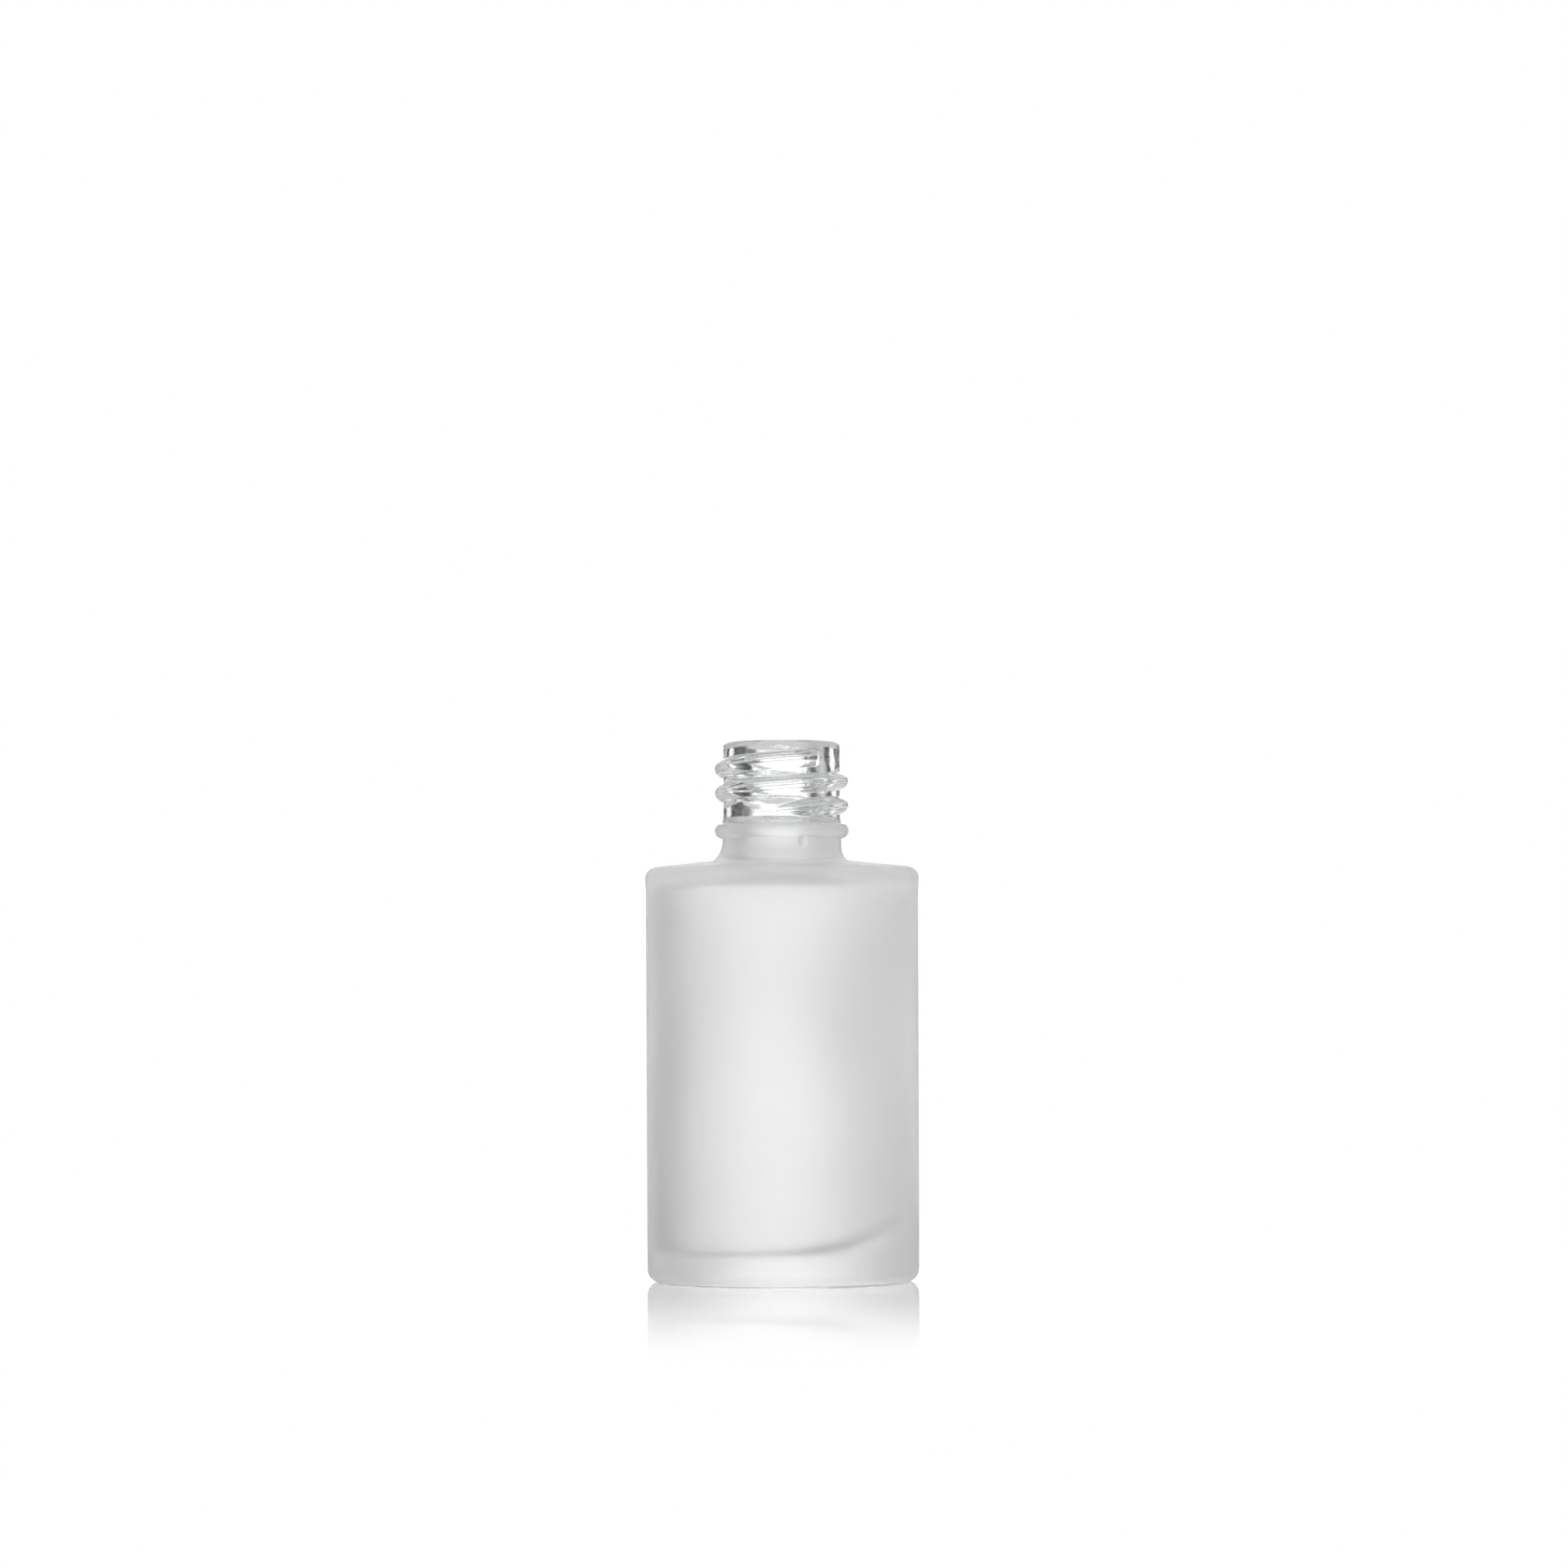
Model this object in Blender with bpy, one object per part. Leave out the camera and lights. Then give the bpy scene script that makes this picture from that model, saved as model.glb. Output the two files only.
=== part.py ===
"""A round glass foundation bottle, empty and open: the moulded glass vessel and the frosted lacquer outside it.

Metres, +Z up, front towards -Y. The origin is the centre of the ring that the bottle stands on.
The glass is one moulding: base, wall, shoulder, neck, transfer bead, orientation lug, screw thread and rim.
The lacquer is a thin film from the heel to the top of the transfer bead. It leaves the thread clear.
"""

import math

import bmesh
import bpy

MM = 0.001

# The whole bottle
HEIGHT = 70.2 * MM
SEGMENTS = 48  # flats round the bottle

# Foot
PUSH_UP_HEIGHT = 1.2 * MM
RING_INNER_RADIUS = 13.9 * MM
HEEL_ROUND = 1.65 * MM

# Wall and shoulder, on the glass
WALL_RADIUS_LOW = 17.6 * MM
WALL_RADIUS_HIGH = 17.68 * MM
SHOULDER_RADIUS = 17.76 * MM
SHOULDER_ROUND = 1.4 * MM
SWELL_START = 50.2 * MM
SHOULDER_ROUND_START = 52.4 * MM
SHOULDER_SLOPE = math.radians(6)

# Neck, transfer bead and lug
NECK_RADIUS = 7.66 * MM
NECK_FILLET_RADIAL = 1.6 * MM
NECK_FILLET_HEIGHT = 2.7 * MM
BEAD_RADIAL = 0.99 * MM
BEAD_HALF_HEIGHT = 0.92 * MM
BEAD_HEIGHT = 58.62 * MM
FLARE_RADIUS = 7.84 * MM
FLARE_TOP = 60.35 * MM
LUG_ROUND = 0.57 * MM
LUG_INSET = 0.22 * MM
LUG_TOP = 58.2 * MM
LUG_BOTTOM = 56.2 * MM
LUG_ANGLE = math.radians(20.5)  # from the front towards +X

# Screw finish: 18 mm, two turns, right hand
THREAD_RADIUS = 8.76 * MM
THREAD_PITCH = 3.175 * MM
THREAD_HALF_WIDTH = 1.12 * MM
THREAD_ROOT_RADIUS = 7.0 * MM
THREAD_CENTRE_RADIUS = 7.5 * MM
THREAD_FRONT_HEIGHT = 61.16 * MM  # the first turn's middle, at the front
THREAD_START = math.radians(-10)  # angles are counted from the front towards +X
THREAD_END = math.radians(720 + 41.5)
THREAD_RUN_IN = math.radians(37)
THREAD_RUN_OUT = math.radians(10)
THREAD_SECTIONS = 86
THREAD_END_SECTIONS = 4
RIM_ROUND = 0.6 * MM

# The hollow inside
FLOOR_HEIGHT = 3.9 * MM
FLOOR_ROUND = 0.7 * MM
FLOOR_ROUND_EXTRA = 5.2 * MM  # the rounding grows towards +X, where the glass is thicker: upwards by this much
FLOOR_ROUND_REACH = 9.5 * MM  # and inwards by this much
CAVITY_RADIUS = 15.35 * MM
CAVITY_WIDENING = 0.5 * MM
WAVE_DEPTH = 1.25 * MM  # the thicker belt that blown glass leaves at half height
WAVE_HEIGHT = 34.0 * MM
WAVE_SPREAD = 9.0 * MM
WAVE_SHIFT = 0.6 * MM
WAVE_FRONT_SHARE = 0.3  # at the front and back the belt is this share of its depth at the sides
CAVITY_SHIFT_TOP = 0.2 * MM  # the hollow stands off centre, towards -X
CAVITY_SHIFT_FOOT = 0.65 * MM
ROOF_ROUND = 1.5 * MM
ROOF_ROUND_START = 50.6 * MM
BORE_RADIUS_LOW = 5.55 * MM
BORE_RADIUS_TOP = 4.7 * MM
BORE_FILLET_RADIAL = 2.7 * MM
BORE_FILLET_HEIGHT = 2.8 * MM
BORE_LIP_ROUND = 0.5 * MM

# Lacquer
FILM_GAP = 0.03 * MM
FILM_THICKNESS = 0.05 * MM
FILM_START_ANGLE = math.radians(25)  # up the heel's rounding from the floor
FILM_END_ANGLE = math.radians(54)  # up the bead's rounding from its middle

OVERCUT = 1.0 * MM


def clear_scene():
    for obj in list(bpy.data.objects):
        bpy.data.objects.remove(obj, do_unlink=True)


def arc(centre_r, centre_z, size_r, size_z, start, end, steps):
    """Points (r, z) of an elliptical arc, from start to end in degrees, counted from +r towards +z."""
    points = []
    for step in range(steps + 1):
        angle = math.radians(start + (end - start) * step / steps)
        points.append((centre_r + size_r * math.cos(angle), centre_z + size_z * math.sin(angle)))
    return points


def foot_profile():
    """From the axis under the push-up to the flat ring's outer edge."""
    dome_radius = (RING_INNER_RADIUS**2 + PUSH_UP_HEIGHT**2) / (2 * PUSH_UP_HEIGHT)
    dome_centre = PUSH_UP_HEIGHT - dome_radius
    points = []
    for step in range(4):
        r = RING_INNER_RADIUS * step / 4
        points.append((r, dome_centre + math.sqrt(dome_radius**2 - r**2)))
    points.append((RING_INNER_RADIUS, 0.0))
    points.append((WALL_RADIUS_LOW - HEEL_ROUND, 0.0))
    return points


def heel_profile(start_angle):
    """The rounding between the flat ring and the wall, from an angle up from the floor."""
    start = math.degrees(start_angle) - 90
    return arc(WALL_RADIUS_LOW - HEEL_ROUND, HEEL_ROUND, HEEL_ROUND, HEEL_ROUND, start, 0, 5)


def wall_and_shoulder_profile():
    """The wall's slight taper, its swell below the shoulder, the corner and the sloping shoulder."""
    swell_middle = (SWELL_START + SHOULDER_ROUND_START) / 2
    middle_radius = (WALL_RADIUS_HIGH + SHOULDER_RADIUS) / 2
    points = [(WALL_RADIUS_HIGH, SWELL_START), (middle_radius, swell_middle)]
    corner_r = SHOULDER_RADIUS - SHOULDER_ROUND
    slope_degrees = math.degrees(SHOULDER_SLOPE)
    points += arc(corner_r, SHOULDER_ROUND_START, SHOULDER_ROUND, SHOULDER_ROUND, 0, 90 - slope_degrees, 5)
    return points


def neck_fillet_profile():
    """The concave fillet between the shoulder and the neck."""
    edge_r, edge_z = wall_and_shoulder_profile()[-1]
    fillet_r = NECK_RADIUS + NECK_FILLET_RADIAL
    fillet_z = edge_z + (edge_r - fillet_r) * math.tan(SHOULDER_SLOPE) + NECK_FILLET_HEIGHT
    return arc(fillet_r, fillet_z, NECK_FILLET_RADIAL, NECK_FILLET_HEIGHT, 270, 180, 5)


def bead_profile(end_angle):
    """The transfer bead's rounding, from underneath to an angle up from its middle."""
    return arc(NECK_RADIUS, BEAD_HEIGHT, BEAD_RADIAL, BEAD_HALF_HEIGHT, -90, math.degrees(end_angle), 8)


def rim_profile():
    """The small flare on the bead, the plain cylinder, the rim's rounding and its flat top, to the axis."""
    points = bead_profile(math.acos((FLARE_RADIUS - NECK_RADIUS) / BEAD_RADIAL))
    points.append((NECK_RADIUS, FLARE_TOP))
    points += arc(NECK_RADIUS - RIM_ROUND, HEIGHT - RIM_ROUND, RIM_ROUND, RIM_ROUND, 0, 90, 4)
    points.append((0.0, HEIGHT))
    return points


def film_profile():
    """The stretch of the glass that the lacquer covers."""
    return (
        heel_profile(FILM_START_ANGLE)
        + wall_and_shoulder_profile()
        + neck_fillet_profile()
        + bead_profile(FILM_END_ANGLE)
    )


def offset(profile, distance):
    """The profile moved outwards, each point along the mean normal of the two lines that meet there."""
    moved = []
    for index, (r, z) in enumerate(profile):
        before = profile[max(index - 1, 0)]
        after = profile[min(index + 1, len(profile) - 1)]
        normals = []
        for (r0, z0), (r1, z1) in ((before, (r, z)), ((r, z), after)):
            length = math.hypot(r1 - r0, z1 - z0)
            if length > 0:
                normals.append(((z1 - z0) / length, (r0 - r1) / length))
        normal_r = sum(normal[0] for normal in normals)
        normal_z = sum(normal[1] for normal in normals)
        # Dividing by 1 + cos of the turn keeps both lines at the full distance.
        scale = distance * len(normals) / (normal_r**2 + normal_z**2)
        moved.append((r + normal_r * scale, z + normal_z * scale))
    return moved


def finish_mesh(bm, name, material):
    """Turns the bmesh into a smooth-shaded object whose faces point out."""
    bmesh.ops.recalc_face_normals(bm, faces=bm.faces)
    mesh = bpy.data.meshes.new(name)
    bm.to_mesh(mesh)
    bm.free()
    mesh.shade_smooth()
    mesh.set_sharp_from_angle(angle=math.radians(35))
    obj = bpy.data.objects.new(name, mesh)
    bpy.context.scene.collection.objects.link(obj)
    if material:
        mesh.materials.append(material)
    return obj


def turned(name, profile, material=None):
    """A solid turned round the Z axis from a profile whose two ends are on the axis."""
    bm = bmesh.new()
    verts = [bm.verts.new((r, 0.0, z)) for r, z in profile]
    edges = [bm.edges.new(pair) for pair in zip(verts, verts[1:])]
    bmesh.ops.spin(
        bm,
        geom=verts + edges,
        axis=(0, 0, 1),
        cent=(0, 0, 0),
        angle=2 * math.pi,
        steps=SEGMENTS,
        use_merge=True,
    )
    bmesh.ops.remove_doubles(bm, verts=bm.verts, dist=1e-7)
    return finish_mesh(bm, name, material)


def lofted(name, rings, material=None):
    """A solid through rings of equally many points, closed by a flat face at each end."""
    bm = bmesh.new()
    loops = [[bm.verts.new(point) for point in ring] for ring in rings]
    count = len(loops[0])
    for lower, upper in zip(loops, loops[1:]):
        for i in range(count):
            j = (i + 1) % count
            bm.faces.new((lower[i], lower[j], upper[j], upper[i]))
    bm.faces.new(loops[0])
    bm.faces.new(loops[-1])
    return finish_mesh(bm, name, material)


def as_cutter(obj):
    obj.hide_render = True
    obj.display_type = "WIRE"
    return obj


def add_boolean(obj, other, operation):
    modifier = obj.modifiers.new(f"{operation.lower()}_{other.name}", "BOOLEAN")
    modifier.operation = operation
    modifier.solver = "EXACT"
    modifier.object = other


def thread_section(angle):
    """The D-shaped section of the thread at an angle. It sinks into the neck at both ends."""
    run_in = min((angle - THREAD_START) / THREAD_RUN_IN, 1.0)
    run_out = math.sqrt(min((THREAD_END - angle) / THREAD_RUN_OUT, 1.0))
    strength = run_in * run_out
    half_width = THREAD_HALF_WIDTH * max(math.sqrt(strength), 0.2)
    height = (THREAD_RADIUS - THREAD_CENTRE_RADIUS) * strength
    middle_z = THREAD_FRONT_HEIGHT + THREAD_PITCH * angle / (2 * math.pi)
    section = [(THREAD_ROOT_RADIUS, -half_width)]
    section += arc(THREAD_CENTRE_RADIUS, 0.0, height + 0.01 * MM, half_width, -90, 90, 8)
    section.append((THREAD_ROOT_RADIUS, half_width))
    return [(r * math.sin(angle), -r * math.cos(angle), middle_z + z) for r, z in section]


def make_thread():
    full_end = THREAD_END - THREAD_RUN_OUT
    sections = []
    for step in range(THREAD_SECTIONS + 1):
        sections.append(thread_section(THREAD_START + (full_end - THREAD_START) * step / THREAD_SECTIONS))
    for step in range(1, THREAD_END_SECTIONS + 1):
        left = 1 - step / THREAD_END_SECTIONS
        sections.append(thread_section(THREAD_END - THREAD_RUN_OUT * left**2))
    return as_cutter(lofted("thread_ridge", sections))


def make_lug(name, grown):
    """The upright rib under the transfer bead, with a round lower end, grown by a distance all round."""
    size = LUG_ROUND + grown
    profile = arc(0.0, LUG_BOTTOM + LUG_ROUND, size, size, -90, 0, 4)
    profile += [(size, LUG_TOP), (0.0, LUG_TOP)]
    lug = turned(name, profile)
    reach = NECK_RADIUS - LUG_INSET
    lug.location = (reach * math.sin(LUG_ANGLE), -reach * math.cos(LUG_ANGLE), 0.0)
    return as_cutter(lug)


def ring(radius, height, shift):
    """One level ring of the hollow, its centre moved towards -X."""
    points = []
    for step in range(SEGMENTS):
        angle = 2 * math.pi * step / SEGMENTS
        points.append((radius * math.cos(angle) - shift, radius * math.sin(angle), height))
    return points


def cavity_wave(height):
    return math.exp(-(((height - WAVE_HEIGHT) / WAVE_SPREAD) ** 2))


def cavity_radius(height, angle):
    """The hollow's radius at an angle counted from +X."""
    widening = CAVITY_WIDENING * (height / SHOULDER_ROUND_START) ** 2
    wave_share = WAVE_FRONT_SHARE + (1 - WAVE_FRONT_SHARE) * math.cos(angle) ** 2
    return CAVITY_RADIUS + widening - WAVE_DEPTH * wave_share * cavity_wave(height)


def cavity_shift(height):
    share = 1 - height / SHOULDER_ROUND_START
    slant = CAVITY_SHIFT_TOP + (CAVITY_SHIFT_FOOT - CAVITY_SHIFT_TOP) * share
    return slant + WAVE_SHIFT * cavity_wave(height)


def floor_corner_rings():
    """The rounding between the floor and the wall. It grows from -X to +X."""
    rings = []
    for step in range(5):
        turn = math.radians(90) * step / 4
        points = []
        for segment in range(SEGMENTS):
            angle = 2 * math.pi * segment / SEGMENTS
            thick_side = ((1 + math.cos(angle)) / 2) ** 4
            tall = FLOOR_ROUND + FLOOR_ROUND_EXTRA * thick_side
            wide = FLOOR_ROUND + FLOOR_ROUND_REACH * thick_side
            height = FLOOR_HEIGHT + tall * (1 - math.cos(turn))
            radius = cavity_radius(height, angle) - wide * (1 - math.sin(turn))
            shift = cavity_shift(height)
            points.append((radius * math.cos(angle) - shift, radius * math.sin(angle), height))
        rings.append(points)
    return rings


def roof_and_bore_rings():
    """The hollow's corner under the shoulder, its roof, the fillet into the bore, and the bore past the rim."""
    slope_degrees = math.degrees(SHOULDER_SLOPE)
    wall_r = cavity_radius(ROOF_ROUND_START, 0.0)
    corner_r = wall_r - ROOF_ROUND
    profile = arc(corner_r, ROOF_ROUND_START, ROOF_ROUND, ROOF_ROUND, 0, 90 - slope_degrees, 4)
    edge_r, edge_z = profile[-1]
    fillet_r = BORE_RADIUS_LOW + BORE_FILLET_RADIAL
    fillet_z = edge_z + (edge_r - fillet_r) * math.tan(SHOULDER_SLOPE) + BORE_FILLET_HEIGHT
    profile += arc(fillet_r, fillet_z, BORE_FILLET_RADIAL, BORE_FILLET_HEIGHT, 270, 180, 4)
    lip_r = BORE_RADIUS_TOP + BORE_LIP_ROUND
    profile += arc(lip_r, HEIGHT - BORE_LIP_ROUND, BORE_LIP_ROUND, BORE_LIP_ROUND, 180, 90, 3)
    profile.append((lip_r, HEIGHT + OVERCUT))
    bore_to_wall = wall_r - BORE_RADIUS_LOW
    roof_shift = cavity_shift(ROOF_ROUND_START)
    return [ring(r, z, roof_shift * max(r - BORE_RADIUS_LOW, 0.0) / bore_to_wall) for r, z in profile]


def wall_ring(height):
    """One ring of the hollow's wall."""
    points = []
    shift = cavity_shift(height)
    for step in range(SEGMENTS):
        angle = 2 * math.pi * step / SEGMENTS
        radius = cavity_radius(height, angle)
        points.append((radius * math.cos(angle) - shift, radius * math.sin(angle), height))
    return points


def make_cavity():
    rings = floor_corner_rings()
    wall_start = FLOOR_HEIGHT + FLOOR_ROUND + FLOOR_ROUND_EXTRA
    for step in range(1, 9):
        height = wall_start + (ROOF_ROUND_START - wall_start) * step / 9
        rings.append(wall_ring(height))
    rings += roof_and_bore_rings()
    return as_cutter(lofted("cavity", rings))


def principled(name, color, roughness, transmission):
    material = bpy.data.materials.new(name)
    material.use_nodes = True
    shader = material.node_tree.nodes["Principled BSDF"]
    shader.inputs["Base Color"].default_value = (*color, 1.0)
    shader.inputs["Roughness"].default_value = roughness
    shader.inputs["Metallic"].default_value = 0.0
    shader.inputs["IOR"].default_value = 1.52
    shader.inputs["Transmission Weight"].default_value = transmission
    material.diffuse_color = (*color, 0.5)
    return material


def make_glass_bottle():
    lower = foot_profile() + heel_profile(0.0)[1:] + wall_and_shoulder_profile()
    profile = lower + neck_fillet_profile() + rim_profile()
    bottle = turned("glass_bottle", profile, principled("clear_glass", (0.95, 0.97, 0.97), 0.02, 1.0))
    add_boolean(bottle, make_thread(), "UNION")
    add_boolean(bottle, make_lug("glass_lug", 0.0), "UNION")
    add_boolean(bottle, make_cavity(), "DIFFERENCE")
    return bottle


def make_frost_coating():
    outside = offset(film_profile(), FILM_GAP + FILM_THICKNESS)
    inside = offset(film_profile(), FILM_GAP)
    closed_outside = [(0.0, outside[0][1])] + outside + [(0.0, outside[-1][1])]
    (low_r, low_z), (high_r, high_z) = inside[0], inside[-1]
    below = [(0.0, low_z - OVERCUT), (low_r, low_z - OVERCUT)]
    above = [(high_r, high_z + OVERCUT), (0.0, high_z + OVERCUT)]
    coating = turned("frost_coating", closed_outside, principled("frost_lacquer", (0.93, 0.94, 0.94), 0.55, 0.8))
    hollow = as_cutter(turned("film_hollow", below + inside + above))
    add_boolean(hollow, make_lug("film_lug_inside", FILM_GAP), "UNION")
    add_boolean(coating, make_lug("film_lug_outside", FILM_GAP + FILM_THICKNESS), "UNION")
    add_boolean(coating, hollow, "DIFFERENCE")
    return coating


def main():
    clear_scene()
    make_glass_bottle()
    make_frost_coating()


main()
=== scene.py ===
"""The finished look of the foundation bottle: fine glass and lacquer meshes, materials, studio and camera.

Metres, +Z up, front towards -Y, as in the CAD model. Angles round the bottle are counted from the front
towards +X.
"""

import math

import bpy
import numpy as np
from mathutils import Matrix, Vector


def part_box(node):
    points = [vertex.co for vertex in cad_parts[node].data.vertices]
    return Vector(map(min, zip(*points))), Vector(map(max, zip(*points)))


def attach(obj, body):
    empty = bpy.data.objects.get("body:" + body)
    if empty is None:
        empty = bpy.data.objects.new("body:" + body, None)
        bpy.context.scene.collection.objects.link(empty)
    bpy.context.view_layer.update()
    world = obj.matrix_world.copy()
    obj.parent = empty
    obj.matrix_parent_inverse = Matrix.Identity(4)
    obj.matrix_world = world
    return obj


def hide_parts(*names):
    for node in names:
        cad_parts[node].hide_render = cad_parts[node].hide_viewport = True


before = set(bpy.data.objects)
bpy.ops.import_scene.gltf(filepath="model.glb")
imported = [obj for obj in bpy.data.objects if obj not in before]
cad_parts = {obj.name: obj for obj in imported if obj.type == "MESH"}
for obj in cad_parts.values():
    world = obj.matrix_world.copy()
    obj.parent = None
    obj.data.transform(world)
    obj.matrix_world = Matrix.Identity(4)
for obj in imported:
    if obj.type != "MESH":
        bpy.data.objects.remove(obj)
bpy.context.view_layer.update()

GLASS_LOW, GLASS_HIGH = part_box("glass_bottle")
FILM_LOW, FILM_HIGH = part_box("frost_coating")

MM = 0.001

# Read from the frame
HEIGHT = GLASS_HIGH.z
FLOOR_LEVEL = GLASS_LOW.z
SHOULDER_RADIUS = GLASS_HIGH.x
FILM_STAND_OFF = FILM_HIGH.x - GLASS_HIGH.x  # from the glass to the film's outer face
FILM_GAP = 0.03 * MM

# Foot
PUSH_UP_HEIGHT = 1.2 * MM
RING_INNER_RADIUS = 13.9 * MM
HEEL_ROUND = 1.65 * MM
FILM_START_ANGLE = 25  # degrees up the heel's rounding from the floor

# Wall and shoulder
WALL_RADIUS_LOW = SHOULDER_RADIUS - 0.16 * MM
WALL_RADIUS_HIGH = SHOULDER_RADIUS - 0.08 * MM
SHOULDER_ROUND = 1.4 * MM
SWELL_START = HEIGHT - 20.0 * MM
SHOULDER_ROUND_START = HEIGHT - 17.8 * MM
SHOULDER_SLOPE = 6  # degrees

# Neck, transfer bead and lug
NECK_RADIUS = 7.66 * MM
NECK_FILLET_RADIAL = 1.6 * MM
NECK_FILLET_HEIGHT = 2.7 * MM
FILLET_SWAY = 0.17 * MM  # the fillet is fuller on the left than on the right
SWAY_TOP = HEIGHT - 13.0 * MM
SWAY_TOP_FADE = 2.4 * MM
SWAY_FOOT = HEIGHT - 16.4 * MM
SWAY_FOOT_FADE = 0.6 * MM
BEAD_RADIAL = 0.99 * MM
BEAD_HALF_HEIGHT = 0.92 * MM
BEAD_HEIGHT = HEIGHT - 11.58 * MM
FLARE_RADIUS = 7.84 * MM
FLARE_TOP = HEIGHT - 9.85 * MM
FILM_END_ANGLE = 54  # degrees up the bead's rounding from its middle
LUG_ROUND = 0.57 * MM
LUG_INSET = 0.22 * MM
LUG_TOP = HEIGHT - 12.0 * MM
LUG_BOTTOM = HEIGHT - 14.0 * MM
LUG_ANGLE = math.radians(20.5)

# Screw thread, right hand, two turns
THREAD_RISE = 1.1 * MM
THREAD_PITCH = 3.175 * MM
THREAD_HALF_WIDTH = 1.17 * MM
THREAD_FULLNESS = 0.8
THREAD_FRONT_HEIGHT = HEIGHT - 9.02 * MM
THREAD_START = math.radians(-6)
THREAD_END = math.radians(720 + 41.5)
THREAD_RUN_IN = math.radians(33)
THREAD_RUN_OUT = math.radians(9)
RIM_ROUND = 0.6 * MM
SEAM_ANGLE = math.radians(22)
SEAM_RISE = 0.025 * MM
SEAM_HALF_WIDTH = math.radians(1.0)

# Hollow
CAVITY_FLOOR = 3.9 * MM
FLOOR_ROUND = 0.7 * MM
FLOOR_ROUND_EXTRA = 5.2 * MM  # the rounding grows towards +X, upwards by this much
FLOOR_ROUND_REACH = 9.5 * MM  # and inwards by this much
CAVITY_RADIUS = 15.35 * MM
CAVITY_WIDENING = 0.5 * MM
WAVE_DEPTH = 1.25 * MM
WAVE_HEIGHT = 34.0 * MM
WAVE_SPREAD = 9.0 * MM
WAVE_SHIFT = 0.6 * MM
WAVE_FRONT_SHARE = 0.3  # of the wave's depth at the sides
CAVITY_SHIFT_TOP = 0.2 * MM
CAVITY_SHIFT_FOOT = 0.65 * MM
ROOF_ROUND = 1.5 * MM
ROOF_ROUND_START = 50.6 * MM
BORE_RADIUS_LOW = 5.55 * MM
BORE_RADIUS_TOP = 4.7 * MM
BORE_FILLET_RADIAL = 2.7 * MM
BORE_FILLET_HEIGHT = 2.8 * MM
BORE_LIP_ROUND = 0.5 * MM

# Marks that the mould and the blowing leave in the glass: depth, size upwards, number round the axis
TOOL_MARKS = (0.0035 * MM, 0.22 * MM, 16)
HAMMERING = (0.010 * MM, 0.7 * MM, 30)
BORE_WAVES = (0.03 * MM, 0.9 * MM, 18)
BORE_WAVES_END = HEIGHT - 12.0 * MM
SMOOTH_BELOW_RIM = 0.3 * MM
MARKS_FADE = 0.5 * MM

# Fineness of the meshes
SEGMENTS = 240
THREAD_ROWS = 150
CAVITY_WALL_ROWS = 39
CAVITY_BLEND_ROWS = 6
CAVITY_CORNER_ROWS = 13
CAVITY_FLOOR_ROWS = 7
POLE_RADIUS = 0.4 * MM  # the first row round the middle of the underside
POLE_SHARE = 0.04  # and the last one round the middle of the hollow's floor, as a share of the floor

# Surfaces
GLASS_IOR = 1.52
FLINT_COLOURS = ((0.975, 0.98, 0.98), (0.99, 0.995, 0.995))
# Painted shade: a greyer copy of the flint glass for the exposed finish, which darkens the neck
SHADED_FLINT_COLOURS = ((0.7, 0.71, 0.71), (0.76, 0.77, 0.77))
GLASS_GRAIN_SIZE = 0.2 * MM
GLASS_GRAIN_DEPTH = 0.005 * MM
GLASS_GRAIN_STRETCH = (0.3, 0.3, 1)
MOTTLE_SIZE = 0.25 * MM
MOTTLE_DEPTH = 0.012 * MM
MOTTLE_STRETCH = (1, 1, 0.6)
LACQUER_IOR = 1.5
LACQUER_COLOURS = ((0.97, 0.97, 0.97), (0.99, 0.99, 0.99))
LACQUER_GRAIN_SIZE = 0.09 * MM
LACQUER_GRAIN_DEPTH = 0.002 * MM
LACQUER_SMOOTHEST = 0.6
LACQUER_ROUGHEST = 0.76

# Material slots, after the first
BONDED = 1
# the exposed finish, in the greyer glass of painted shade
SHADED_FINISH = 2
MOTTLED = 3

# Studio floor: what the camera sees, and what it sends into the glass
FLOOR_SIZE = 12.0
FLOOR_DROP = 0.02 * MM
FLOOR_SEEN = 1.0
FLOOR_LIGHT = 0.68
SHADE_LIGHT = 0.1  # painted shadow: the floor's glow sent into the glass, under the bottle
SHADE_EDGE = (14 * MM, 26 * MM)
MIRROR_SHARE = 0.78
MIRROR_FADE = (15 * MM, 150 * MM)
MIRROR_SHARE_IN_GLASS = 0.6  # of the mirror that the camera sees
FLOOR_IOR = 1.49
FLOOR_FRESNEL = (0.04, 0.735)  # looked at from above, and from the camera
FLOOR_FRESNEL_SHARE = (0.05, 1.0)

# Name, direction (degrees from the back towards +X), half width, its edge's blur,
# lowest and highest elevation, their edges' blur, light
PANELS = (
    ("backdrop", 0, 15, 10, -90, 90, 20, 1.4),
    ("backdrop_glow", 0, 40, 40, 12, 65, 10, 0.48),
    ("left_box", -110, 27, 20, -90, 50, 20, 1.5),
    ("right_near_box", 50, 10, 10, -90, 50, 20, 0.5),
    ("right_box", 85, 30, 20, -90, 50, 20, 0.55),
    ("front_left_box", -155, 25, 20, -90, 60, 20, 1.9),
    ("front_right_box", 150, 30, 20, -90, 60, 20, 1.9),
)
AMBIENT = 0.06

# Camera
CAMERA_DISTANCE = 0.640
CAMERA_HEIGHT = 34.4 * MM
CAMERA_SIDE = 0.32 * MM
CAMERA_LENS = 112.5
CAMERA_PITCH = 2.716  # degrees up
CAMERA_ROLL = -0.22


# ---------------------------------------------------------------- profiles

def arc(centre_r, centre_z, size_r, size_z, start, end, steps):
    """Points (r, z) of an elliptical arc, from start to end in degrees, counted from +r towards +z."""
    angle = np.radians(np.linspace(start, end, steps + 1))
    return np.column_stack([centre_r + size_r * np.cos(angle), centre_z + size_z * np.sin(angle)])


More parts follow.
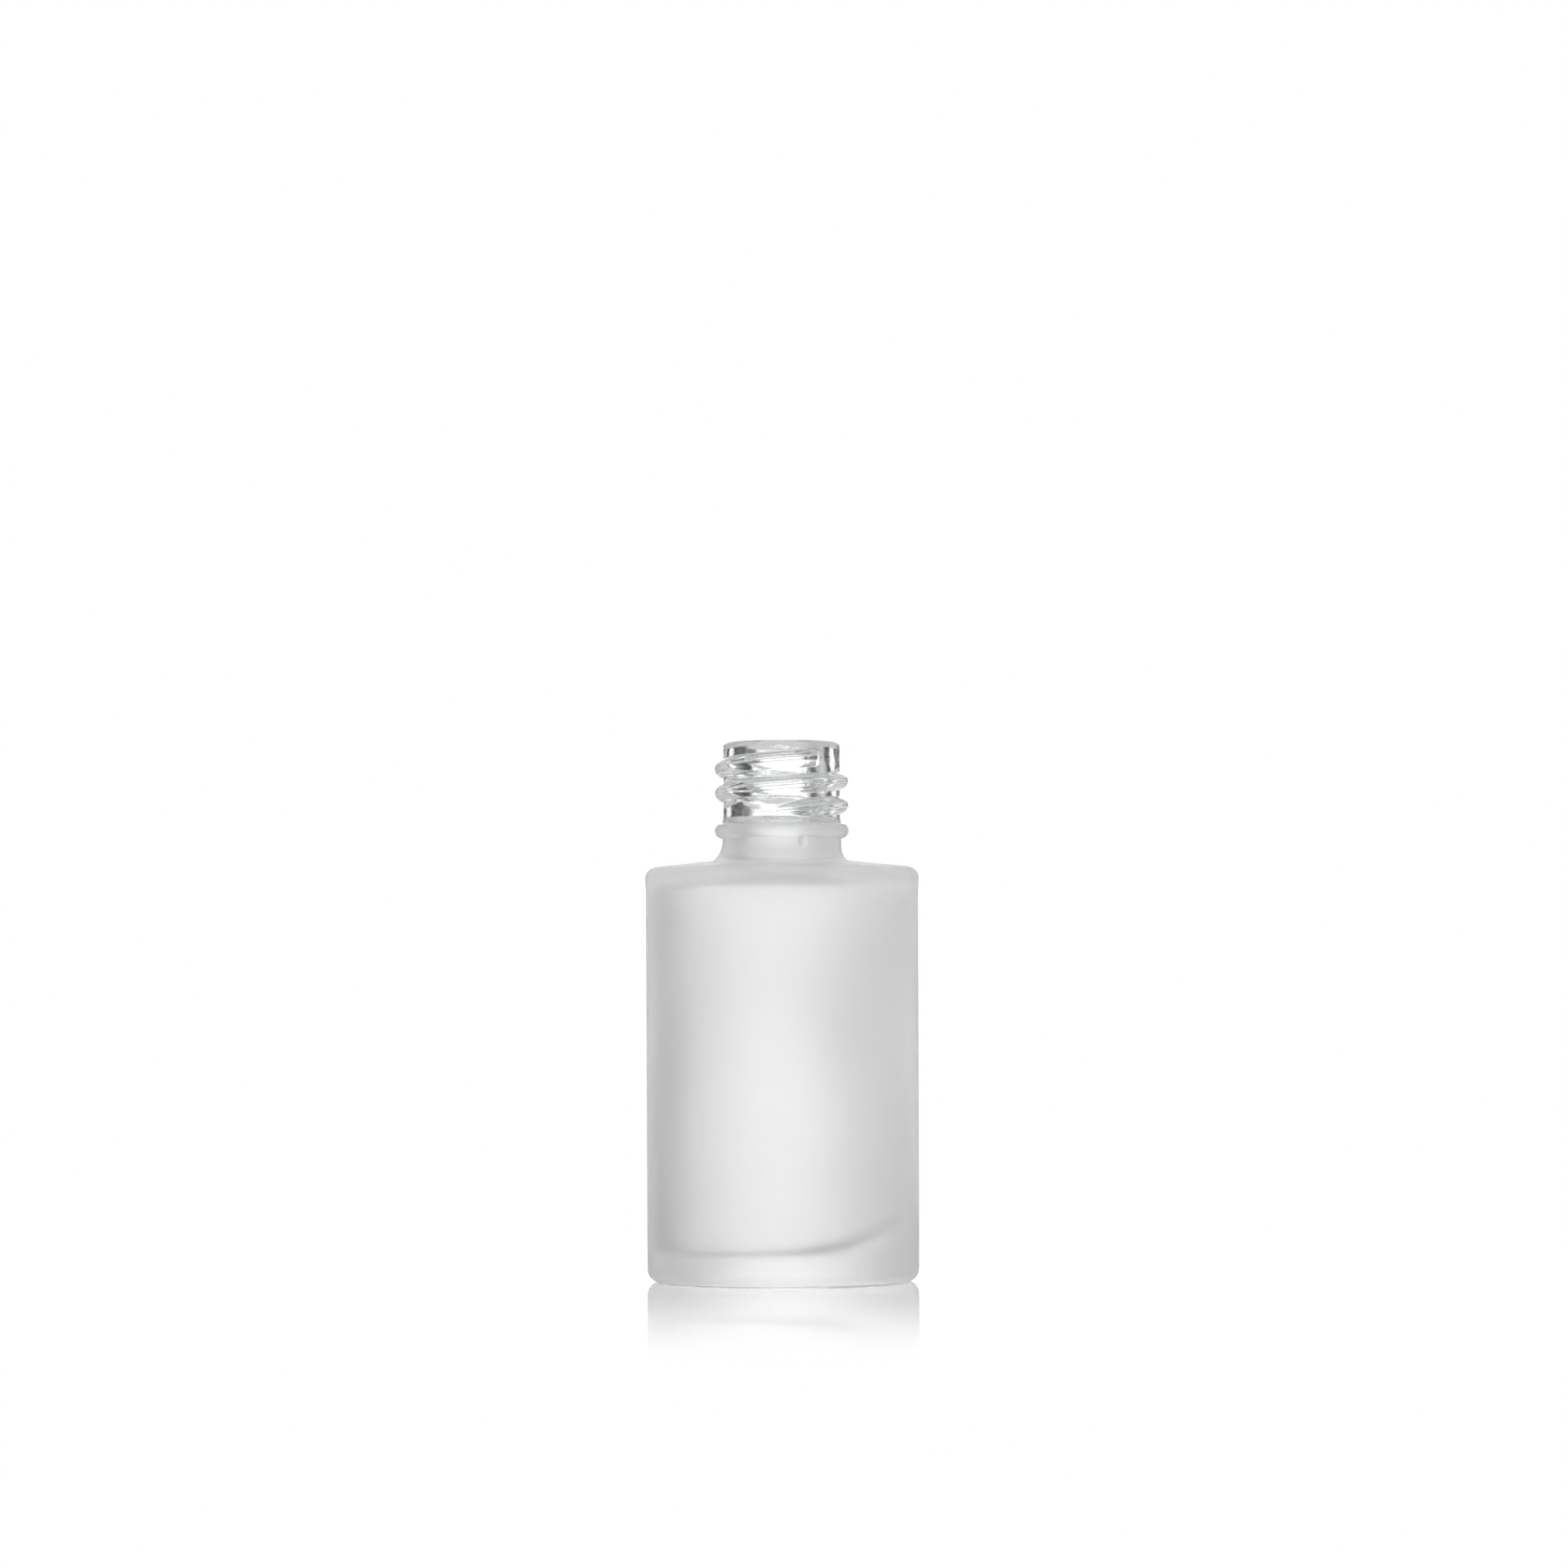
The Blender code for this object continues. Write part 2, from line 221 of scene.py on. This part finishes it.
def line(start, end, steps):
    """Points of a straight stretch, leaving out its first, which the stretch before has."""
    share = np.linspace(0, 1, steps + 1)[1:, None]
    return np.array(start) * (1 - share) + np.array(end) * share


def smooth(value):
    """An even rise from 0 to 1 without corners."""
    value = np.clip(value, 0, 1)
    return value * value * (3 - 2 * value)


def foot_profile():
    """From near the axis under the push-up to the heel's rounding, where the film starts."""
    dome_radius = (RING_INNER_RADIUS**2 + PUSH_UP_HEIGHT**2) / (2 * PUSH_UP_HEIGHT)
    r = np.linspace(POLE_RADIUS, RING_INNER_RADIUS, 8)
    dome = np.column_stack([r, PUSH_UP_HEIGHT - dome_radius + np.sqrt(dome_radius**2 - r**2)])
    ring = line(dome[-1], (WALL_RADIUS_LOW - HEEL_ROUND, 0), 3)
    heel = heel_arc(-90, FILM_START_ANGLE - 90, 3)[1:]
    return np.vstack([dome, ring, heel[:-1]])


def heel_arc(start, end, steps):
    return arc(WALL_RADIUS_LOW - HEEL_ROUND, HEEL_ROUND, HEEL_ROUND, HEEL_ROUND, start, end, steps)


def covered_profile():
    """The stretch of the glass that the film covers: heel, wall, shoulder, neck and most of the bead."""
    heel = heel_arc(FILM_START_ANGLE - 90, 0, 9)
    wall = line(heel[-1], (WALL_RADIUS_HIGH, SWELL_START), 16)
    height = np.linspace(SWELL_START, SHOULDER_ROUND_START, 6)[1:]
    share = smooth((height - SWELL_START) / (SHOULDER_ROUND_START - SWELL_START))
    swell = np.column_stack([WALL_RADIUS_HIGH + (SHOULDER_RADIUS - WALL_RADIUS_HIGH) * share, height])
    corner = arc(
        SHOULDER_RADIUS - SHOULDER_ROUND, SHOULDER_ROUND_START,
        SHOULDER_ROUND, SHOULDER_ROUND, 0, 90 - SHOULDER_SLOPE, 12,
    )[1:]
    fillet_r = NECK_RADIUS + NECK_FILLET_RADIAL
    fillet_low = corner[-1][1] + (corner[-1][0] - fillet_r) * math.tan(math.radians(SHOULDER_SLOPE))
    shoulder = line(corner[-1], (fillet_r, fillet_low), 10)
    fillet = arc(
        fillet_r, fillet_low + NECK_FILLET_HEIGHT,
        NECK_FILLET_RADIAL, NECK_FILLET_HEIGHT, 270, 180, 12,
    )[1:]
    neck = line(fillet[-1], (NECK_RADIUS, BEAD_HEIGHT - BEAD_HALF_HEIGHT), 3)
    bead = bead_arc(-86, FILM_END_ANGLE, 20)
    return np.vstack([heel, wall, swell, corner, shoulder, fillet, neck, bead])


def bead_arc(start, end, steps):
    return arc(NECK_RADIUS, BEAD_HEIGHT, BEAD_RADIAL, BEAD_HALF_HEIGHT, start, end, steps)


def finish_profile():
    """Above the film: the bead's top, the flare, the cylinder that carries the thread, the rim, its land."""
    bead_end_angle = math.degrees(math.acos((FLARE_RADIUS - NECK_RADIUS) / BEAD_RADIAL))
    bead_top = bead_arc(FILM_END_ANGLE, bead_end_angle, 4)[1:]
    foot = line(bead_top[-1], (NECK_RADIUS, FLARE_TOP), 10)
    cylinder = line(foot[-1], (NECK_RADIUS, HEIGHT - RIM_ROUND), THREAD_ROWS)
    rim = arc(NECK_RADIUS - RIM_ROUND, HEIGHT - RIM_ROUND, RIM_ROUND, RIM_ROUND, 0, 90, 10)[1:]
    land = line(rim[-1], (BORE_RADIUS_TOP + BORE_LIP_ROUND, HEIGHT), 3)
    return np.vstack([bead_top, foot, cylinder, rim, land])


def cavity_wave(height):
    """The strength of the wall's inward bulge, which is 1 at its middle height."""
    return np.exp(-(((height - WAVE_HEIGHT) / WAVE_SPREAD) ** 2))


def cavity_radius(height, wave_share=1.0):
    widening = CAVITY_WIDENING * (height / SHOULDER_ROUND_START) ** 2
    return CAVITY_RADIUS + widening - WAVE_DEPTH * wave_share * cavity_wave(height)


def cavity_shift(height):
    """How far the hollow's axis stands to the left of the bottle's."""
    share = 1 - height / SHOULDER_ROUND_START
    straight = CAVITY_SHIFT_TOP + (CAVITY_SHIFT_FOOT - CAVITY_SHIFT_TOP) * share
    return straight + WAVE_SHIFT * cavity_wave(height)


def bore_profile():
    """From the rim's inner lip down the bore, its fillet, the roof and the roof's corner."""
    lip_r = BORE_RADIUS_TOP + BORE_LIP_ROUND
    lip = arc(lip_r, HEIGHT - BORE_LIP_ROUND, BORE_LIP_ROUND, BORE_LIP_ROUND, 90, 180, 6)[1:]
    corner_r = cavity_radius(ROOF_ROUND_START) - ROOF_ROUND
    corner = arc(corner_r, ROOF_ROUND_START, ROOF_ROUND, ROOF_ROUND, 90 - SHOULDER_SLOPE, 0, 10)
    fillet_r = BORE_RADIUS_LOW + BORE_FILLET_RADIAL
    fillet_low = corner[0][1] + (corner[0][0] - fillet_r) * math.tan(math.radians(SHOULDER_SLOPE))
    fillet = arc(
        fillet_r, fillet_low + BORE_FILLET_HEIGHT,
        BORE_FILLET_RADIAL, BORE_FILLET_HEIGHT, 180, 270, 12,
    )
    bore = line(lip[-1], fillet[0], 28)
    roof = line(fillet[-1], corner[0], 8)
    return np.vstack([lip, bore, fillet[1:], roof, corner[1:]])


def offset(profile, distance):
    """The profile moved outwards along its normals."""
    tangent = np.gradient(profile, axis=0)
    tangent /= np.linalg.norm(tangent, axis=1, keepdims=True)
    return profile + distance * np.column_stack([tangent[:, 1], -tangent[:, 0]])


# ---------------------------------------------------------------- surfaces

ANGLES = 2 * math.pi * np.arange(SEGMENTS) / SEGMENTS


def turn(profile):
    """Rows of points round the axis, as an array of rows by angles by x, y, z."""
    r, z = profile[:, 0][:, None], profile[:, 1][:, None]
    return np.stack([r * np.sin(ANGLES), -r * np.cos(ANGLES), z + 0 * ANGLES], axis=-1)


def push_out(rows, distance):
    """The rows moved away from the axis by a distance given for each point."""
    radius = np.hypot(rows[..., 0], rows[..., 1])
    scale = (radius + distance) / radius
    moved = rows.copy()
    moved[..., 0] *= scale
    moved[..., 1] *= scale
    return moved


def thread_rise(height):
    """How far the thread stands out of the neck, for rows at these heights and all angles."""
    rise = np.zeros((len(height), SEGMENTS))
    for lap in range(-1, 4):
        angle = ANGLES + 2 * math.pi * lap
        run_in = np.clip((angle - THREAD_START) / THREAD_RUN_IN, 0, 1)
        run_out = np.sqrt(np.clip((THREAD_END - angle) / THREAD_RUN_OUT, 0, 1))
        strength = run_in * run_out
        half_width = THREAD_HALF_WIDTH * np.sqrt(np.maximum(strength, 0.001))
        middle = THREAD_FRONT_HEIGHT + THREAD_PITCH * angle / (2 * math.pi)
        across = (height[:, None] - middle) / half_width
        rise = np.maximum(rise, THREAD_RISE * strength * np.clip(1 - across**2, 0, 1) ** THREAD_FULLNESS)
    return rise


def unevenness(height, marks, seed):
    """Smooth noise for rows at these heights and all angles, of a given depth and size of cells."""
    depth, cell, cells_round = marks
    dice = np.random.RandomState(seed)
    up = (height - height.min()) / cell
    round_ = ANGLES / (2 * math.pi) * cells_round
    grid = dice.uniform(-1, 1, (int(up.max()) + 2, cells_round))
    row, column = up.astype(int)[:, None], round_.astype(int)[None, :]
    row_share, column_share = smooth(up[:, None] - row), smooth(round_[None, :] - column)
    beside = (column + 1) % cells_round
    low = grid[row, column] * (1 - column_share) + grid[row, beside] * column_share
    high = grid[row + 1, column] * (1 - column_share) + grid[row + 1, beside] * column_share
    return depth * (low * (1 - row_share) + high * row_share)


def finish_marks(height):
    """The turning marks and shallow hammering of the neck mould, and its two seams."""
    off_seam = np.minimum(np.abs(ANGLES - SEAM_ANGLE), np.abs(ANGLES - SEAM_ANGLE - math.pi))
    seams = SEAM_RISE * np.exp(-((off_seam / SEAM_HALF_WIDTH) ** 2))
    fade = smooth((HEIGHT - SMOOTH_BELOW_RIM - height) / MARKS_FADE)[:, None]
    return (unevenness(height, TOOL_MARKS, 1) + unevenness(height, HAMMERING, 2) + seams[None, :]) * fade


def bore_marks(height):
    """The uneven blown wall of the bore, which is smooth at its lip and lower down."""
    fade = smooth((HEIGHT - 2 * SMOOTH_BELOW_RIM - height) / (2 * MARKS_FADE)) * (height > BORE_WAVES_END)
    return unevenness(height, BORE_WAVES, 3) * fade[:, None]


def fillet_sway(rows):
    """Moves the neck's fillet outwards on the left and inwards on the right."""
    height = rows[:, 0, 2]
    share = smooth((SWAY_TOP - height) / SWAY_TOP_FADE) * smooth((height - SWAY_FOOT) / SWAY_FOOT_FADE)
    return push_out(rows, -FILLET_SWAY * share[:, None] * np.sin(ANGLES)[None, :])


def lug_rise(rows, grown):
    """How far the upright rib under the bead stands out of the neck."""
    radius = np.hypot(rows[..., 0], rows[..., 1])
    reach = NECK_RADIUS - LUG_INSET
    beside = reach * np.sin(ANGLES - LUG_ANGLE)[None, :]
    below = np.clip(LUG_BOTTOM + LUG_ROUND - rows[..., 2], 0, None)
    size = LUG_ROUND + grown
    inside = size**2 - beside**2 - below**2
    front = reach * np.cos(ANGLES - LUG_ANGLE)[None, :] + np.sqrt(np.clip(inside, 0, None))
    near = (inside > 0) & (np.cos(ANGLES - LUG_ANGLE)[None, :] > 0) & (rows[..., 2] < LUG_TOP)
    return np.where(near, np.clip(front - radius, 0, None), 0)


def cavity_rows():
    """The wall, the floor's rounding and the floor of the hollow, from the roof's corner down."""
    rows = []
    wall_end = CAVITY_FLOOR + FLOOR_ROUND + FLOOR_ROUND_EXTRA
    side = np.sin(ANGLES)  # +1 towards +X
    wave_share = WAVE_FRONT_SHARE + (1 - WAVE_FRONT_SHARE) * side**2
    thick_side = ((1 + side) / 2) ** 4
    tall = FLOOR_ROUND + FLOOR_ROUND_EXTRA * thick_side
    wide = FLOOR_ROUND + FLOOR_ROUND_REACH * thick_side
    for height in np.linspace(ROOF_ROUND_START, wall_end, CAVITY_WALL_ROWS + 1)[1:]:
        rows.append((cavity_radius(height, wave_share), height + 0 * ANGLES))
    for share in np.linspace(0, 1, CAVITY_BLEND_ROWS + 1)[1:]:
        height = wall_end + (CAVITY_FLOOR + tall - wall_end) * share
        rows.append((cavity_radius(height, wave_share), height))
    for degrees in np.linspace(90, 0, CAVITY_CORNER_ROWS + 1)[1:]:
        turned_by = math.radians(degrees)
        height = CAVITY_FLOOR + tall * (1 - math.cos(turned_by))
        rows.append((cavity_radius(height, wave_share) - wide * (1 - math.sin(turned_by)), height))
    edge = rows[-1][0]
    for share in np.linspace(1, POLE_SHARE, CAVITY_FLOOR_ROWS + 1)[1:]:
        rows.append((edge * share, CAVITY_FLOOR + 0 * ANGLES))
    points = []
    for r, z in rows:
        points.append(np.stack([r * np.sin(ANGLES) - cavity_shift(z), -r * np.cos(ANGLES), z], axis=-1))
    return np.array(points)


def skin(name, rows, closed_ring=False):
    """A smooth closed mesh through rows of points. It ends in a point at each end, or joins end to start."""
    count = len(rows)
    points = rows.reshape(-1, 3)
    faces = []
    last = count if closed_ring else count - 1
    for row in range(last):
        here, there = row * SEGMENTS, ((row + 1) % count) * SEGMENTS
        for i in range(SEGMENTS):
            j = (i + 1) % SEGMENTS
            faces.append((here + i, here + j, there + j, there + i))
    if not closed_ring:
        points = np.vstack([points, rows[0].mean(axis=0), rows[-1].mean(axis=0)])
        low_pole, high_pole = count * SEGMENTS, count * SEGMENTS + 1
        top = (count - 1) * SEGMENTS
        for i in range(SEGMENTS):
            j = (i + 1) % SEGMENTS
            faces.append((low_pole, j, i))
            faces.append((high_pole, top + i, top + j))
    mesh = bpy.data.meshes.new(name)
    mesh.from_pydata(points.tolist(), [], faces)
    mesh.shade_smooth()
    obj = bpy.data.objects.new(name, mesh)
    bpy.context.scene.collection.objects.link(obj)
    return obj


def paint_rows(obj, first, last, slot):
    """Gives the faces between two rows a material slot."""
    index = np.zeros(len(obj.data.polygons), int)
    obj.data.polygons.foreach_get("material_index", index)
    index[first * SEGMENTS : last * SEGMENTS] = slot
    obj.data.polygons.foreach_set("material_index", index)


def bore_rows(bore):
    """The bore and the roof, uneven from the blowing, and moved sideways towards the hollow's corner."""
    rows = turn(bore)
    rows = push_out(rows, bore_marks(rows[:, 0, 2]))
    reach = cavity_radius(ROOF_ROUND_START) - BORE_RADIUS_LOW
    share = np.clip((bore[:, 0] - BORE_RADIUS_LOW) / reach, 0, 1)
    rows[..., 0] -= (share * cavity_shift(ROOF_ROUND_START))[:, None]
    return rows


def make_glass():
    """The whole moulded glass: one closed surface, outside and inside."""
    foot, covered, finish, bore = foot_profile(), covered_profile(), finish_profile(), bore_profile()
    outside = turn(np.vstack([foot, covered, finish]))
    outside = push_out(outside, lug_rise(outside, 0))
    outside = fillet_sway(outside)
    film_start, film_end = len(foot), len(foot) + len(covered)
    height = outside[film_end:, 0, 2]
    outside[film_end:] = push_out(outside[film_end:], thread_rise(height) + finish_marks(height))
    rim_end, bore_end = len(outside), len(outside) + len(bore)
    glass = skin("bottle_glass", np.concatenate([outside, bore_rows(bore), cavity_rows()]))
    glass.data.materials.append(clear_glass("clear_flint_glass", FLINT_COLOURS))
    glass.data.materials.append(bonded_face())
    # Painted shade: the exposed finish gets a greyer copy of the flint glass
    glass.data.materials.append(clear_glass("shaded_flint_glass", SHADED_FLINT_COLOURS))
    glass.data.materials.append(clear_glass("blown_flint_glass", FLINT_COLOURS, MOTTLE_DEPTH))
    paint_rows(glass, film_start, film_end - 1, BONDED)
    paint_rows(glass, film_end - 1, rim_end, SHADED_FINISH)
    paint_rows(glass, rim_end, bore_end, MOTTLED)
    return glass


def make_film():
    """The frosted lacquer: a thin closed shell over the covered stretch of the glass."""
    covered = covered_profile()
    outer = turn(offset(covered, FILM_STAND_OFF))
    outer = fillet_sway(push_out(outer, lug_rise(outer, FILM_STAND_OFF)))
    inner = turn(offset(covered, FILM_GAP))
    inner = fillet_sway(push_out(inner, lug_rise(inner, FILM_GAP)))
    film = skin("frost_film", np.concatenate([outer, inner[::-1]]), closed_ring=True)
    film.data.materials.append(frosted_lacquer())
    film.data.materials.append(bonded_face())
    paint_rows(film, len(outer), 2 * len(outer) - 1, BONDED)
    return film


# ---------------------------------------------------------------- materials

def new_material(name):
    material = bpy.data.materials.new(name)
    material.use_nodes = True
    return material, material.node_tree, material.node_tree.nodes["Principled BSDF"]


def noise(tree, size, detail=2.0, stretch=(1, 1, 1)):
    """Noise with features about this size across, from the object's own coordinates."""
    place = tree.nodes.new("ShaderNodeMapping")
    place.inputs["Scale"].default_value = Vector(stretch) / size
    tree.links.new(tree.nodes.new("ShaderNodeTexCoord").outputs["Object"], place.inputs["Vector"])
    texture = tree.nodes.new("ShaderNodeTexNoise")
    texture.inputs["Scale"].default_value = 1.0
    texture.inputs["Detail"].default_value = detail
    tree.links.new(place.outputs["Vector"], texture.inputs["Vector"])
    return texture.outputs["Fac"]


def feed(tree, socket, value):
    """Gives a socket a number, or links it to another socket."""
    if isinstance(value, (int, float)):
        socket.default_value = value
    else:
        tree.links.new(value, socket)


def remap(tree, value, before, after, interpolation="LINEAR"):
    """A value taken from one range to another and kept inside it."""
    node = tree.nodes.new("ShaderNodeMapRange")
    node.interpolation_type = interpolation
    tree.links.new(value, node.inputs["Value"])
    for name, end in zip(("From Min", "From Max", "To Min", "To Max"), (*before, *after)):
        feed(tree, node.inputs[name], end)
    return node.outputs["Result"]


def calculate(tree, operation, *values):
    node = tree.nodes.new("ShaderNodeMath")
    node.operation = operation
    for socket, value in zip(node.inputs, values):
        feed(tree, socket, value)
    return node.outputs[0]


def spread(tree, value, low, high):
    """Noise values, which are mostly from 0.3 to 0.7, stretched over a range."""
    return remap(tree, value, (0.3, 0.7), (low, high))


def tint(tree, value, low, high):
    """A colour between two others, chosen by a value from 0 to 1."""
    node = tree.nodes.new("ShaderNodeMix")
    node.data_type = "RGBA"
    tree.links.new(value, node.inputs[0])
    node.inputs[6].default_value = (*low, 1)
    node.inputs[7].default_value = (*high, 1)
    return node.outputs[2]


def bumps(tree, value, depth):
    node = tree.nodes.new("ShaderNodeBump")
    node.inputs["Strength"].default_value = 1.0
    node.inputs["Distance"].default_value = depth
    tree.links.new(value, node.inputs["Height"])
    return node.outputs["Normal"]


def clear_glass(name, colours, mottle_depth=0.0):
    """Flint glass with faint cords, a fine horizontal grain from the mould, and a mottle where blown."""
    material, tree, shader = new_material(name)
    link = tree.links.new
    shader.inputs["IOR"].default_value = GLASS_IOR
    shader.inputs["Transmission Weight"].default_value = 1.0
    link(tint(tree, noise(tree, 4 * MM), *colours), shader.inputs["Base Color"])
    link(spread(tree, noise(tree, 2 * MM), 0.0, 0.015), shader.inputs["Roughness"])
    grain = bumps(tree, noise(tree, GLASS_GRAIN_SIZE, 3.0, GLASS_GRAIN_STRETCH), GLASS_GRAIN_DEPTH)
    mottle = bumps(tree, noise(tree, MOTTLE_SIZE, 3.0, MOTTLE_STRETCH), mottle_depth)
    link(grain, mottle.node.inputs["Normal"])
    link(mottle, shader.inputs["Normal"])
    return material


def bonded_face():
    """Where lacquer wets the glass there is no optical surface, so light goes straight through."""
    material, tree, shader = new_material("bonded_face")
    shader.inputs["Base Color"].default_value = (1, 1, 1, 1)
    shader.inputs["Alpha"].default_value = 0.0
    return material


def frosted_lacquer():
    """Matt lacquer: fine sprayed grains, some smoother and some rougher, and a slight cloudiness."""
    material, tree, shader = new_material("frosted_lacquer")
    link = tree.links.new
    shader.inputs["IOR"].default_value = LACQUER_IOR
    shader.inputs["Transmission Weight"].default_value = 1.0
    cloud, grain = noise(tree, 6 * MM, 4.0), noise(tree, LACQUER_GRAIN_SIZE)
    link(tint(tree, cloud, *LACQUER_COLOURS), shader.inputs["Base Color"])
    link(spread(tree, grain, LACQUER_SMOOTHEST, LACQUER_ROUGHEST), shader.inputs["Roughness"])
    link(bumps(tree, grain, LACQUER_GRAIN_DEPTH), shader.inputs["Normal"])
    return material


# ---------------------------------------------------------------- studio and camera

def white_acrylic():
    """Glows evenly to the camera, but sends less light into the glass under the bottle, a painted shadow;
    mirrors the bottle, less and less away from it and less when looked at from above.
    """
    material, tree, shader = new_material("white_acrylic_floor")
    tree.nodes.remove(shader)
    link = tree.links.new
    distance = tree.nodes.new("ShaderNodeVectorMath")
    distance.operation = "LENGTH"
    link(tree.nodes.new("ShaderNodeNewGeometry").outputs["Position"], distance.inputs[0])
    distance = distance.outputs["Value"]
    camera_ray = tree.nodes.new("ShaderNodeLightPath").outputs["Is Camera Ray"]
    # Painted shadow: the glow that the floor sends into the glass is dimmed where the bottle stands
    sent = remap(tree, distance, SHADE_EDGE, (SHADE_LIGHT, FLOOR_LIGHT), "SMOOTHSTEP")
    glow = tree.nodes.new("ShaderNodeEmission")
    link(remap(tree, camera_ray, (0, 1), (sent, FLOOR_SEEN)), glow.inputs["Strength"])
    gloss = tree.nodes.new("ShaderNodeBsdfGlossy")
    gloss.inputs["Roughness"].default_value = 0.0
    gloss.inputs["Color"].default_value = (1, 1, 1, 1)
    fresnel = tree.nodes.new("ShaderNodeFresnel")
    fresnel.inputs["IOR"].default_value = FLOOR_IOR
    grazing = remap(tree, fresnel.outputs[0], FLOOR_FRESNEL, FLOOR_FRESNEL_SHARE)
    share = remap(tree, camera_ray, (0, 1), (MIRROR_SHARE_IN_GLASS, grazing))
    mirror = remap(tree, distance, MIRROR_FADE, (MIRROR_SHARE, 0), "SMOOTHSTEP")
    mix = tree.nodes.new("ShaderNodeMixShader")
    link(calculate(tree, "MULTIPLY", mirror, share), mix.inputs[0])
    link(glow.outputs[0], mix.inputs[1])
    link(gloss.outputs[0], mix.inputs[2])
    link(mix.outputs[0], tree.nodes["Material Output"].inputs["Surface"])
    return material


def make_floor():
    """The table that the bottle stands on."""
    mesh = bpy.data.meshes.new("studio_floor")
    reach = FLOOR_SIZE / 2
    corners = ((-reach, -reach), (reach, -reach), (reach, reach), (-reach, reach))
    mesh.from_pydata([(x, y, FLOOR_LEVEL - FLOOR_DROP) for x, y in corners], [], [(0, 1, 2, 3)])
    mesh.materials.append(white_acrylic())
    floor = bpy.data.objects.new("studio_floor", mesh)
    bpy.context.scene.collection.objects.link(floor)


def panels_light(tree):
    """The light that comes from each direction: a little from everywhere, and more from the panels."""

    def edge(value, middle, blur, before, after):
        ends = math.radians(middle - blur / 2), math.radians(middle + blur / 2)
        return remap(tree, value, ends, (before, after), "SMOOTHSTEP")

    split = tree.nodes.new("ShaderNodeSeparateXYZ")
    tree.links.new(tree.nodes.new("ShaderNodeTexCoord").outputs["Generated"], split.inputs[0])
    x, y, z = split.outputs
    elevation = calculate(tree, "ARCSINE", z)
    level_squared = calculate(tree, "SUBTRACT", 1, calculate(tree, "MULTIPLY", z, z))
    level = calculate(tree, "SQRT", calculate(tree, "MAXIMUM", level_squared, 1e-6))
    total = AMBIENT
    for name, centre, half_width, side_blur, low, high, blur, light in PANELS:
        toward_x = calculate(tree, "MULTIPLY", x, math.sin(math.radians(centre)))
        toward = calculate(tree, "MULTIPLY_ADD", y, math.cos(math.radians(centre)), toward_x)
        toward_share = calculate(tree, "MINIMUM", calculate(tree, "DIVIDE", toward, level), 1)
        aside = calculate(tree, "ARCCOSINE", toward_share)
        panel = edge(aside, half_width, side_blur, light, 0)
        panel.node.label = name
        panel = calculate(tree, "MULTIPLY", panel, edge(elevation, low, blur, 0, 1))
        panel = calculate(tree, "MULTIPLY", panel, edge(elevation, high, blur, 1, 0))
        total = calculate(tree, "ADD", total, panel)
    return total


def make_world():
    """A dark studio with a white backdrop and soft boxes. The camera sees plain white behind the bottle."""
    world = bpy.data.worlds.new("studio_world")
    bpy.context.scene.world = world
    world.use_nodes = True
    tree = world.node_tree
    tree.nodes.clear()
    mix = tree.nodes.new("ShaderNodeMixShader")
    feed(tree, mix.inputs[0], tree.nodes.new("ShaderNodeLightPath").outputs["Is Camera Ray"])
    for socket, strength in ((mix.inputs[1], panels_light(tree)), (mix.inputs[2], 1.0)):
        background = tree.nodes.new("ShaderNodeBackground")
        background.inputs["Color"].default_value = (1, 1, 1, 1)
        feed(tree, background.inputs["Strength"], strength)
        tree.links.new(background.outputs[0], socket)
    tree.links.new(mix.outputs[0], tree.nodes.new("ShaderNodeOutputWorld").inputs[0])


def make_camera():
    data = bpy.data.cameras.new("camera")
    data.lens = CAMERA_LENS
    data.sensor_width = 36
    data.clip_start = 0.01
    data.clip_end = 20
    camera = bpy.data.objects.new("camera", data)
    bpy.context.scene.collection.objects.link(camera)
    place = Matrix.Translation((CAMERA_SIDE, -CAMERA_DISTANCE, FLOOR_LEVEL + CAMERA_HEIGHT))
    pitch = Matrix.Rotation(math.radians(90 + CAMERA_PITCH), 4, "X")
    roll = Matrix.Rotation(math.radians(CAMERA_ROLL), 4, "Z")
    camera.matrix_world = place @ pitch @ roll
    bpy.context.scene.camera = camera


def let_light_travel():
    """Light takes many turns inside frosted glass before it comes out, so its paths aren't cut short."""
    cycles = bpy.context.scene.cycles
    cycles.max_bounces = 40
    cycles.transmission_bounces = 40
    cycles.glossy_bounces = 20
    cycles.transparent_max_bounces = 40


def main():
    bpy.context.scene.view_settings.view_transform = "Standard"
    let_light_travel()
    make_camera()
    make_floor()
    make_world()
    pieces = (
        (make_glass(), "glass_bottle", "clear_glass"),
        (make_film(), "frost_coating", "frost_lacquer"),
    )
    for piece, node, slot in pieces:
        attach(piece, "root")
        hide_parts(node)


main()
